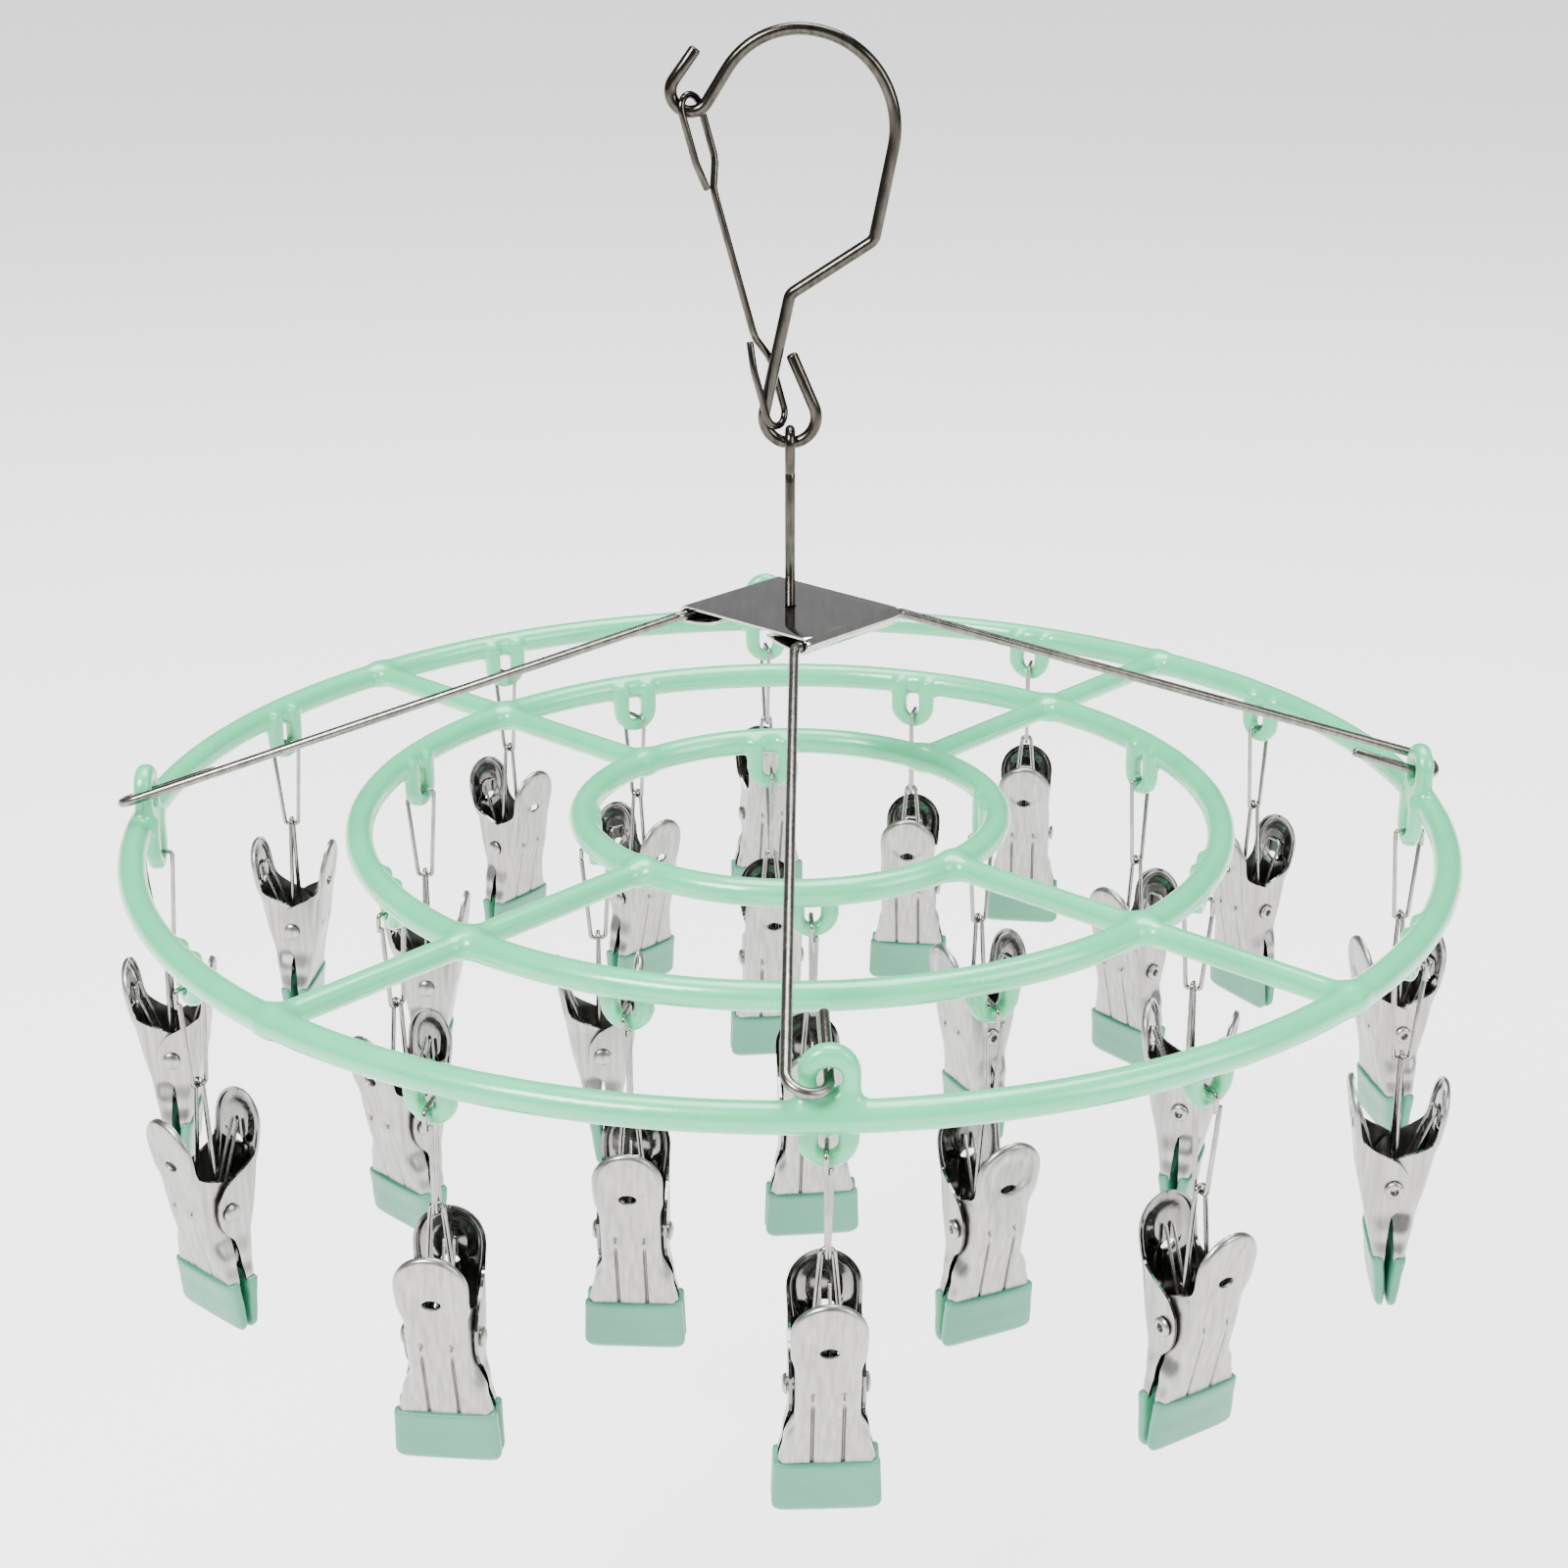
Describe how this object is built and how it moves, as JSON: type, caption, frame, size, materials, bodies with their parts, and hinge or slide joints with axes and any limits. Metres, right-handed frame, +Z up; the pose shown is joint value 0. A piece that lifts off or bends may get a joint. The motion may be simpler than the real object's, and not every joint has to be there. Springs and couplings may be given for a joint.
{
  "type": "clip drying hanger",
  "caption": "Round hanging dryer: concentric plastic rings on spokes, spring clips on wire links under them, two support wires, a top plate and a stem under a wire hook with a latch.",
  "frame": {"origin": "the rail seat: the point inside the top of the hook that bears on a rail, straight above the middle of the rings", "axes": "+Z up, +X to the right of the front view and along the plane of the hook, -Y to the front"},
  "size_m": [0.3512, 0.3513, 0.2924],
  "materials": {
    "hook_wire": "satin drawn stainless wire",
    "latch_wire": "satin drawn stainless wire",
    "stem_wire": "satin drawn stainless wire",
    "support_wire": "satin drawn stainless wire",
    "plate_sheet": "polished stainless sheet",
    "mint_plastic": "semi-gloss moulded plastic",
    "link_wire": "bright thin stainless wire",
    "jaw_sheet": "polished stamped stainless sheet",
    "dipped_tip": "soft dipped vinyl, semi-gloss",
    "spring_wire": "spring steel wire"
  },
  "bodies": {
    "hook": {"hook": "hook_wire"},
    "latch": {"latch": "latch_wire"},
    "stem": {"stem": "stem_wire"},
    "top_plate": {"top_plate": "plate_sheet"},
    "support_wire_a": {"support_wire_a": "support_wire"},
    "support_wire_b": {"support_wire_b": "support_wire"},
    "ring_frame": {"ring_frame": "mint_plastic"},
    "outer_clip_01": {"outer_clip_01_jaw_a": "jaw_sheet"},
    "outer_clip_01_jaw": {"outer_clip_01_jaw_b": "jaw_sheet"},
    "outer_clip_02": {"outer_clip_02_jaw_a": "jaw_sheet"},
    "outer_clip_02_jaw": {"outer_clip_02_jaw_b": "jaw_sheet"},
    "outer_clip_03": {"outer_clip_03_jaw_a": "jaw_sheet"},
    "outer_clip_03_jaw": {"outer_clip_03_jaw_b": "jaw_sheet"},
    "outer_clip_04": {"outer_clip_04_jaw_a": "jaw_sheet"},
    "outer_clip_04_jaw": {"outer_clip_04_jaw_b": "jaw_sheet"},
    "outer_clip_05": {"outer_clip_05_jaw_a": "jaw_sheet"},
    "outer_clip_05_jaw": {"outer_clip_05_jaw_b": "jaw_sheet"},
    "outer_clip_06": {"outer_clip_06_jaw_a": "jaw_sheet"},
    "outer_clip_06_jaw": {"outer_clip_06_jaw_b": "jaw_sheet"},
    "outer_clip_07": {"outer_clip_07_jaw_a": "jaw_sheet"},
    "outer_clip_07_jaw": {"outer_clip_07_jaw_b": "jaw_sheet"},
    "outer_clip_08": {"outer_clip_08_jaw_a": "jaw_sheet"},
    "outer_clip_08_jaw": {"outer_clip_08_jaw_b": "jaw_sheet"},
    "outer_clip_09": {"outer_clip_09_jaw_a": "jaw_sheet"},
    "outer_clip_09_jaw": {"outer_clip_09_jaw_b": "jaw_sheet"},
    "outer_clip_10_link_upper": {"outer_clip_10_link_upper": "link_wire"},
    "outer_clip_10_link_lower": {"outer_clip_10_link_lower": "link_wire"},
    "outer_clip_10": {"outer_clip_10_jaw_a": "jaw_sheet", "outer_clip_10_tip_a": "dipped_tip", "outer_clip_10_spring": "spring_wire"},
    "outer_clip_10_jaw": {"outer_clip_10_jaw_b": "jaw_sheet", "outer_clip_10_tip_b": "dipped_tip"},
    "outer_clip_11": {"outer_clip_11_jaw_a": "jaw_sheet"},
    "outer_clip_11_jaw": {"outer_clip_11_jaw_b": "jaw_sheet"},
    "outer_clip_12": {"outer_clip_12_jaw_a": "jaw_sheet"},
    "outer_clip_12_jaw": {"outer_clip_12_jaw_b": "jaw_sheet"},
    "middle_clip_01": {"middle_clip_01_jaw_a": "jaw_sheet"},
    "middle_clip_01_jaw": {"middle_clip_01_jaw_b": "jaw_sheet"},
    "middle_clip_02": {"middle_clip_02_jaw_a": "jaw_sheet"},
    "middle_clip_02_jaw": {"middle_clip_02_jaw_b": "jaw_sheet"},
    "middle_clip_03": {"middle_clip_03_jaw_a": "jaw_sheet"},
    "middle_clip_03_jaw": {"middle_clip_03_jaw_b": "jaw_sheet"},
    "middle_clip_04": {"middle_clip_04_jaw_a": "jaw_sheet"},
    "middle_clip_04_jaw": {"middle_clip_04_jaw_b": "jaw_sheet"},
    "middle_clip_05": {"middle_clip_05_jaw_a": "jaw_sheet"},
    "middle_clip_05_jaw": {"middle_clip_05_jaw_b": "jaw_sheet"},
    "middle_clip_06": {"middle_clip_06_jaw_a": "jaw_sheet"},
    "middle_clip_06_jaw": {"middle_clip_06_jaw_b": "jaw_sheet"},
    "middle_clip_07": {"middle_clip_07_jaw_a": "jaw_sheet"},
    "middle_clip_07_jaw": {"middle_clip_07_jaw_b": "jaw_sheet"},
    "middle_clip_08": {"middle_clip_08_jaw_a": "jaw_sheet"},
    "middle_clip_08_jaw": {"middle_clip_08_jaw_b": "jaw_sheet"},
    "inner_clip_01": {"inner_clip_01_jaw_a": "jaw_sheet"},
    "inner_clip_01_jaw": {"inner_clip_01_jaw_b": "jaw_sheet"},
    "inner_clip_02": {"inner_clip_02_jaw_a": "jaw_sheet"},
    "inner_clip_02_jaw": {"inner_clip_02_jaw_b": "jaw_sheet"},
    "inner_clip_03": {"inner_clip_03_jaw_a": "jaw_sheet"},
    "inner_clip_03_jaw": {"inner_clip_03_jaw_b": "jaw_sheet"},
    "inner_clip_04": {"inner_clip_04_jaw_a": "jaw_sheet"},
    "inner_clip_04_jaw": {"inner_clip_04_jaw_b": "jaw_sheet"}
  },
  "joints": [
    {"name": "latch_lift", "type": "slide", "parent": "hook", "child": "latch", "axis": [0.2135, 0, 0.9769], "range_m": [0, 0.004]},
    {"name": "stem_swing", "type": "hinge", "parent": "hook", "child": "stem", "pos_m": [0, 0, -0.0964], "axis": [1, 0, 0], "range_deg": [-35, 35]},
    {"name": "plate_swivel", "type": "hinge", "parent": "stem", "child": "top_plate", "pos_m": [0, 0, -0.1389], "axis": [0, 0, 1], "continuous": true},
    {"name": "wire_a_sway", "type": "hinge", "parent": "top_plate", "child": "support_wire_a", "pos_m": [0.01442, -0.01312, -0.1405], "axis": [0.673, 0.7396, 0], "range_deg": [-4, 4]},
    {"name": "frame_sway", "type": "hinge", "parent": "support_wire_a", "child": "ring_frame", "pos_m": [0.08624, -0.07847, -0.1859], "axis": [0.673, 0.7396, 0], "range_deg": [-0.7, 0.7]},
    {"name": "wire_b_sway", "type": "hinge", "parent": "top_plate", "child": "support_wire_b", "pos_m": [-0.01442, 0.01312, -0.1405], "axis": [0.673, 0.7396, 0], "range_deg": [-4.1, 4.1]},
    {"name": "outer_clip_10_link_swing", "type": "hinge", "parent": "ring_frame", "child": "outer_clip_10_link_upper", "pos_m": [0.0077, -0.16332, -0.2021], "axis": [0.0471, -0.9989, 0], "range_deg": [-40, 40]},
    {"name": "outer_clip_10_lower_swing", "type": "hinge", "parent": "outer_clip_10_link_upper", "child": "outer_clip_10_link_lower", "pos_m": [0.0077, -0.16332, -0.22665], "axis": [0.9989, 0.0471, 0], "range_deg": [-30, 30]},
    {"name": "outer_clip_10_rivet_swing", "type": "hinge", "parent": "outer_clip_10_link_lower", "child": "outer_clip_10", "pos_m": [0.0077, -0.16332, -0.2584], "axis": [-0.9989, -0.0471, 0], "range_deg": [-15, 15]},
    {"name": "outer_clip_10_open", "type": "hinge", "parent": "outer_clip_10", "child": "outer_clip_10_jaw", "pos_m": [0.0077, -0.16332, -0.2584], "axis": [0.9989, 0.0471, 0], "range_deg": [0, 19], "stiffness_Nm_per_rad": 0.05, "deforming": ["outer_clip_10_spring"]},
    {"name": "outer_clip_01_swing", "type": "hinge", "parent": "ring_frame", "child": "outer_clip_01", "pos_m": [0.16332, 0.0077, -0.2021], "axis": [0.9826, 0.1857, 0], "range_deg": [-40, 40]},
    {"name": "outer_clip_01_open", "type": "hinge", "parent": "outer_clip_01", "child": "outer_clip_01_jaw", "pos_m": [0.16332, 0.0077, -0.2584], "axis": [-0.1857, 0.9826, 0], "range_deg": [0, 19], "stiffness_Nm_per_rad": 0.05},
    {"name": "outer_clip_02_swing", "type": "hinge", "parent": "ring_frame", "child": "outer_clip_02", "pos_m": [0.13759, 0.08833, -0.2021], "axis": [0.8415, 0.5402, 0], "range_deg": [-40, 40]},
    {"name": "outer_clip_02_open", "type": "hinge", "parent": "outer_clip_02", "child": "outer_clip_02_jaw", "pos_m": [0.13759, 0.08833, -0.2584], "axis": [-0.5402, 0.8415, 0], "range_deg": [0, 19], "stiffness_Nm_per_rad": 0.05},
    {"name": "outer_clip_03_swing", "type": "hinge", "parent": "ring_frame", "child": "outer_clip_03", "pos_m": [0.07499, 0.14529, -0.2021], "axis": [0.1271, 0.9919, 0], "range_deg": [-40, 40]},
    {"name": "outer_clip_03_open", "type": "hinge", "parent": "outer_clip_03", "child": "outer_clip_03_jaw", "pos_m": [0.07499, 0.14529, -0.2584], "axis": [-0.9919, 0.1271, 0], "range_deg": [0, 19], "stiffness_Nm_per_rad": 0.05},
    {"name": "outer_clip_04_swing", "type": "hinge", "parent": "ring_frame", "child": "outer_clip_04", "pos_m": [-0.0077, 0.16332, -0.2021], "axis": [-0.2538, 0.9673, 0], "range_deg": [-40, 40]},
    {"name": "outer_clip_04_open", "type": "hinge", "parent": "outer_clip_04", "child": "outer_clip_04_jaw", "pos_m": [-0.0077, 0.16332, -0.2584], "axis": [-0.9673, -0.2538, 0], "range_deg": [0, 19], "stiffness_Nm_per_rad": 0.05},
    {"name": "outer_clip_05_swing", "type": "hinge", "parent": "ring_frame", "child": "outer_clip_05", "pos_m": [-0.08833, 0.13759, -0.2021], "axis": [-0.7955, 0.606, 0], "range_deg": [-40, 40]},
    {"name": "outer_clip_05_open", "type": "hinge", "parent": "outer_clip_05", "child": "outer_clip_05_jaw", "pos_m": [-0.08833, 0.13759, -0.2584], "axis": [-0.606, -0.7955, 0], "range_deg": [0, 19], "stiffness_Nm_per_rad": 0.05},
    {"name": "outer_clip_06_swing", "type": "hinge", "parent": "ring_frame", "child": "outer_clip_06", "pos_m": [-0.14529, 0.07499, -0.2021], "axis": [-0.9957, 0.0924, 0], "range_deg": [-40, 40]},
    {"name": "outer_clip_06_open", "type": "hinge", "parent": "outer_clip_06", "child": "outer_clip_06_jaw", "pos_m": [-0.14529, 0.07499, -0.2584], "axis": [-0.0924, -0.9957, 0], "range_deg": [0, 19], "stiffness_Nm_per_rad": 0.05},
    {"name": "outer_clip_07_swing", "type": "hinge", "parent": "ring_frame", "child": "outer_clip_07", "pos_m": [-0.16332, -0.0077, -0.2021], "axis": [-0.9989, -0.0471, 0], "range_deg": [-40, 40]},
    {"name": "outer_clip_07_open", "type": "hinge", "parent": "outer_clip_07", "child": "outer_clip_07_jaw", "pos_m": [-0.16332, -0.0077, -0.2584], "axis": [0.0471, -0.9989, 0], "range_deg": [0, 19], "stiffness_Nm_per_rad": 0.05},
    {"name": "outer_clip_08_swing", "type": "hinge", "parent": "ring_frame", "child": "outer_clip_08", "pos_m": [-0.13759, -0.08833, -0.2021], "axis": [-0.66, -0.7513, 0], "range_deg": [-40, 40]},
    {"name": "outer_clip_08_open", "type": "hinge", "parent": "outer_clip_08", "child": "outer_clip_08_jaw", "pos_m": [-0.13759, -0.08833, -0.2584], "axis": [0.7513, -0.66, 0], "range_deg": [0, 19], "stiffness_Nm_per_rad": 0.05},
    {"name": "outer_clip_09_swing", "type": "hinge", "parent": "ring_frame", "child": "outer_clip_09", "pos_m": [-0.07499, -0.14529, -0.2021], "axis": [-0.0924, -0.9957, 0], "range_deg": [-40, 40]},
    {"name": "outer_clip_09_open", "type": "hinge", "parent": "outer_clip_09", "child": "outer_clip_09_jaw", "pos_m": [-0.07499, -0.14529, -0.2584], "axis": [0.9957, -0.0924, 0], "range_deg": [0, 19], "stiffness_Nm_per_rad": 0.05},
    {"name": "outer_clip_11_swing", "type": "hinge", "parent": "ring_frame", "child": "outer_clip_11", "pos_m": [0.08833, -0.13759, -0.2021], "axis": [0.5402, -0.8415, 0], "range_deg": [-40, 40]},
    {"name": "outer_clip_11_open", "type": "hinge", "parent": "outer_clip_11", "child": "outer_clip_11_jaw", "pos_m": [0.08833, -0.13759, -0.2584], "axis": [0.8415, 0.5402, 0], "range_deg": [0, 19], "stiffness_Nm_per_rad": 0.05},
    {"name": "outer_clip_12_swing", "type": "hinge", "parent": "ring_frame", "child": "outer_clip_12", "pos_m": [0.14529, -0.07499, -0.2021], "axis": [0.9957, -0.0924, 0], "range_deg": [-40, 40]},
    {"name": "outer_clip_12_open", "type": "hinge", "parent": "outer_clip_12", "child": "outer_clip_12_jaw", "pos_m": [0.14529, -0.07499, -0.2584], "axis": [0.0924, 0.9957, 0], "range_deg": [0, 19], "stiffness_Nm_per_rad": 0.05},
    {"name": "middle_clip_01_swing", "type": "hinge", "parent": "ring_frame", "child": "middle_clip_01", "pos_m": [0.09747, 0.04587, -0.2021], "axis": [0.7638, 0.6455, 0], "range_deg": [-40, 40]},
    {"name": "middle_clip_01_open", "type": "hinge", "parent": "middle_clip_01", "child": "middle_clip_01_jaw", "pos_m": [0.09747, 0.04587, -0.2584], "axis": [-0.6455, 0.7638, 0], "range_deg": [0, 19], "stiffness_Nm_per_rad": 0.05},
    {"name": "middle_clip_02_swing", "type": "hinge", "parent": "ring_frame", "child": "middle_clip_02", "pos_m": [0.03649, 0.10135, -0.2021], "axis": [0.1357, 0.9907, 0], "range_deg": [-40, 40]},
    {"name": "middle_clip_02_open", "type": "hinge", "parent": "middle_clip_02", "child": "middle_clip_02_jaw", "pos_m": [0.03649, 0.10135, -0.2584], "axis": [-0.9907, 0.1357, 0], "range_deg": [0, 19], "stiffness_Nm_per_rad": 0.05},
    {"name": "middle_clip_03_swing", "type": "hinge", "parent": "ring_frame", "child": "middle_clip_03", "pos_m": [-0.04587, 0.09747, -0.2021], "axis": [-0.7337, 0.6794, 0], "range_deg": [-40, 40]},
    {"name": "middle_clip_03_open", "type": "hinge", "parent": "middle_clip_03", "child": "middle_clip_03_jaw", "pos_m": [-0.04587, 0.09747, -0.2584], "axis": [-0.6794, -0.7337, 0], "range_deg": [0, 19], "stiffness_Nm_per_rad": 0.05},
    {"name": "middle_clip_04_swing", "type": "hinge", "parent": "ring_frame", "child": "middle_clip_04", "pos_m": [-0.10135, 0.03649, -0.2021], "axis": [-0.9995, 0.0314, 0], "range_deg": [-40, 40]},
    {"name": "middle_clip_04_open", "type": "hinge", "parent": "middle_clip_04", "child": "middle_clip_04_jaw", "pos_m": [-0.10135, 0.03649, -0.2584], "axis": [-0.0314, -0.9995, 0], "range_deg": [0, 19], "stiffness_Nm_per_rad": 0.05},
    {"name": "middle_clip_05_swing", "type": "hinge", "parent": "ring_frame", "child": "middle_clip_05", "pos_m": [-0.09747, -0.04587, -0.2021], "axis": [-0.6794, -0.7337, 0], "range_deg": [-40, 40]},
    {"name": "middle_clip_05_open", "type": "hinge", "parent": "middle_clip_05", "child": "middle_clip_05_jaw", "pos_m": [-0.09747, -0.04587, -0.2584], "axis": [0.7337, -0.6794, 0], "range_deg": [0, 19], "stiffness_Nm_per_rad": 0.05},
    {"name": "middle_clip_06_swing", "type": "hinge", "parent": "ring_frame", "child": "middle_clip_06", "pos_m": [-0.03649, -0.10135, -0.2021], "axis": [-0.0488, -0.9988, 0], "range_deg": [-40, 40]},
    {"name": "middle_clip_06_open", "type": "hinge", "parent": "middle_clip_06", "child": "middle_clip_06_jaw", "pos_m": [-0.03649, -0.10135, -0.2584], "axis": [0.9988, -0.0488, 0], "range_deg": [0, 19], "stiffness_Nm_per_rad": 0.05},
    {"name": "middle_clip_07_swing", "type": "hinge", "parent": "ring_frame", "child": "middle_clip_07", "pos_m": [0.04587, -0.09747, -0.2021], "axis": [0.4258, -0.9048, 0], "range_deg": [-40, 40]},
    {"name": "middle_clip_07_open", "type": "hinge", "parent": "middle_clip_07", "child": "middle_clip_07_jaw", "pos_m": [0.04587, -0.09747, -0.2584], "axis": [0.9048, 0.4258, 0], "range_deg": [0, 19], "stiffness_Nm_per_rad": 0.05},
    {"name": "middle_clip_08_swing", "type": "hinge", "parent": "ring_frame", "child": "middle_clip_08", "pos_m": [0.10135, -0.03649, -0.2021], "axis": [0.9409, -0.3387, 0], "range_deg": [-40, 40]},
    {"name": "middle_clip_08_open", "type": "hinge", "parent": "middle_clip_08", "child": "middle_clip_08_jaw", "pos_m": [0.10135, -0.03649, -0.2584], "axis": [0.3387, 0.9409, 0], "range_deg": [0, 19], "stiffness_Nm_per_rad": 0.05},
    {"name": "inner_clip_01_swing", "type": "hinge", "parent": "ring_frame", "child": "inner_clip_01", "pos_m": [0.0504, 0.00548, -0.2021], "axis": [0.8813, 0.4726, 0], "range_deg": [-40, 40]},
    {"name": "inner_clip_01_open", "type": "hinge", "parent": "inner_clip_01", "child": "inner_clip_01_jaw", "pos_m": [0.0504, 0.00548, -0.2584], "axis": [-0.4726, 0.8813, 0], "range_deg": [0, 19], "stiffness_Nm_per_rad": 0.05},
    {"name": "inner_clip_02_swing", "type": "hinge", "parent": "ring_frame", "child": "inner_clip_02", "pos_m": [-0.00548, 0.0504, -0.2021], "axis": [-0.108, 0.9942, 0], "range_deg": [-40, 40]},
    {"name": "inner_clip_02_open", "type": "hinge", "parent": "inner_clip_02", "child": "inner_clip_02_jaw", "pos_m": [-0.00548, 0.0504, -0.2584], "axis": [-0.9942, -0.108, 0], "range_deg": [0, 19], "stiffness_Nm_per_rad": 0.05},
    {"name": "inner_clip_03_swing", "type": "hinge", "parent": "ring_frame", "child": "inner_clip_03", "pos_m": [-0.0504, -0.00548, -0.2021], "axis": [-0.9942, -0.108, 0], "range_deg": [-40, 40]},
    {"name": "inner_clip_03_open", "type": "hinge", "parent": "inner_clip_03", "child": "inner_clip_03_jaw", "pos_m": [-0.0504, -0.00548, -0.2584], "axis": [0.108, -0.9942, 0], "range_deg": [0, 19], "stiffness_Nm_per_rad": 0.05},
    {"name": "inner_clip_04_swing", "type": "hinge", "parent": "ring_frame", "child": "inner_clip_04", "pos_m": [0.00548, -0.0504, -0.2021], "axis": [0.108, -0.9942, 0], "range_deg": [-40, 40]},
    {"name": "inner_clip_04_open", "type": "hinge", "parent": "inner_clip_04", "child": "inner_clip_04_jaw", "pos_m": [0.00548, -0.0504, -0.2584], "axis": [0.9942, 0.108, 0], "range_deg": [0, 19], "stiffness_Nm_per_rad": 0.05}
  ],
  "couplings": [
    {"joint": "frame_sway", "follows": "wire_a_sway", "ratio": -0.16724},
    {"joint": "wire_b_sway", "follows": "wire_a_sway", "ratio": 1}
  ]
}
